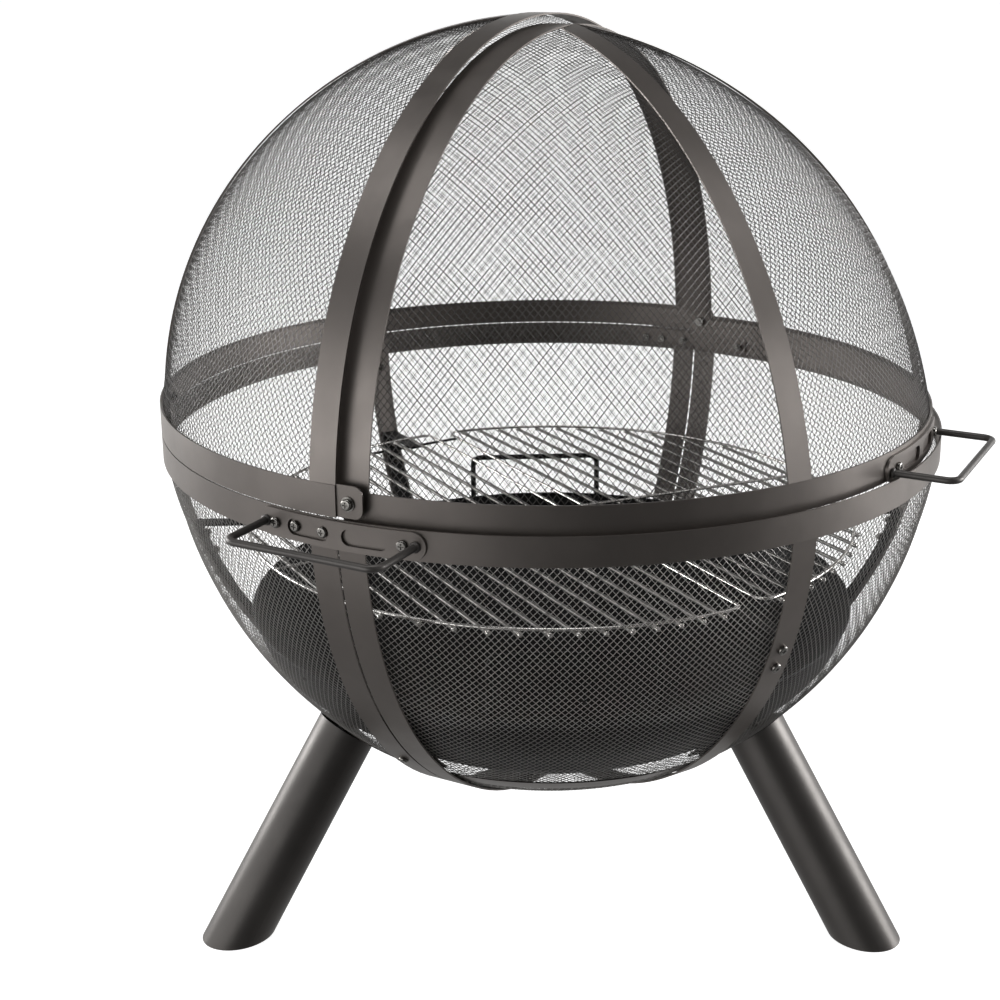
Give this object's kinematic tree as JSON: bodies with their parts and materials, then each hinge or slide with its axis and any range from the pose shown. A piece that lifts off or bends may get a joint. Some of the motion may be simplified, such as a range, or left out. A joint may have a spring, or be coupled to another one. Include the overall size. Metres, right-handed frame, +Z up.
{
  "type": "ball fire pit",
  "caption": "Ball-shaped wood fire pit of banded steel mesh on splayed tube legs, with a swing-up mesh door, a split cooking grate, a fire bowl and wire handles.",
  "frame": {"origin": "on the floor, at the middle of the bounding box's footprint; the ball's centre is 488 mm above it and 22.6 mm behind it", "axes": "+Z up, -Y towards the door's handle, +X to the right of someone facing the door; the door's pivots lie on a line along X"},
  "size_m": [0.8722, 0.807, 0.869],
  "materials": {
    "band_paint": "satin",
    "mesh_paint": "satin",
    "leg_paint": "satin",
    "wire_paint": "satin",
    "zinc_steel": "satin",
    "grate_nickel": "bright nickel plate",
    "bowl_enamel": "satin black enamel"
  },
  "bodies": {
    "frame": {"lower_front_ring": "band_paint", "lower_back_ring": "band_paint", "lower_front_seam_rib": "band_paint", "lower_back_seam_rib": "band_paint", "lower_front_left_rib": "band_paint", "lower_front_right_rib": "band_paint", "lower_back_left_rib": "band_paint", "lower_back_right_rib": "band_paint", "lower_front_left_mesh": "mesh_paint", "lower_front_middle_mesh": "mesh_paint", "lower_front_right_mesh": "mesh_paint", "lower_back_right_mesh": "mesh_paint", "lower_back_middle_mesh": "mesh_paint", "lower_back_left_mesh": "mesh_paint", "seam_splices": "band_paint", "seam_straps": "band_paint", "dome_ring": "band_paint", "dome_seam_rib": "band_paint", "dome_left_rib": "band_paint", "dome_right_rib": "band_paint", "dome_right_mesh": "mesh_paint", "dome_middle_mesh": "mesh_paint", "dome_left_mesh": "mesh_paint", "joint_straps": "band_paint", "pivot_tabs": "band_paint", "pivot_screws": "zinc_steel", "pivot_washers": "zinc_steel", "pivot_nuts": "zinc_steel", "left_handle_plate": "band_paint", "left_handle_grip": "wire_paint", "right_handle_plate": "band_paint", "right_handle_grip": "wire_paint", "handle_screws": "zinc_steel", "support_brackets": "leg_paint", "bracket_screws": "zinc_steel", "strap_screws": "zinc_steel", "frame_nuts": "zinc_steel", "leg_hoop": "band_paint", "leg_left": "leg_paint", "leg_right": "leg_paint", "leg_back": "leg_paint", "leg_end_plates": "leg_paint", "leg_bolts": "zinc_steel"},
    "door": {"door_ring": "band_paint", "door_seam_rib": "band_paint", "door_left_rib": "band_paint", "door_right_rib": "band_paint", "door_left_mesh": "mesh_paint", "door_middle_mesh": "mesh_paint", "door_right_mesh": "mesh_paint", "door_handle_plate": "band_paint", "door_handle_grip": "wire_paint", "door_handle_screws": "zinc_steel"},
    "right_grate": {"right_grate_rim": "grate_nickel", "right_grate_bars": "grate_nickel"},
    "left_grate": {"left_grate_rim": "grate_nickel", "left_grate_bars": "grate_nickel"},
    "fire_bowl_body": {"fire_bowl": "bowl_enamel", "bowl_loops": "bowl_enamel"}
  },
  "joints": [
    {"name": "door_pivot", "type": "hinge", "parent": "frame", "child": "door", "pos_m": [0, 0.0116, 0.5], "axis": [-1, 0, 0], "range_deg": [0, 80]},
    {"name": "right_grate_lift", "type": "slide", "parent": "frame", "child": "right_grate", "axis": [0, 0, 1], "range_m": [0, 0.12]},
    {"name": "left_grate_lift", "type": "slide", "parent": "frame", "child": "left_grate", "axis": [0, 0, 1], "range_m": [0, 0.12]},
    {"name": "bowl_lift", "type": "slide", "parent": "frame", "child": "fire_bowl_body", "axis": [0, 0, 1], "range_m": [0, 0.018]}
  ]
}
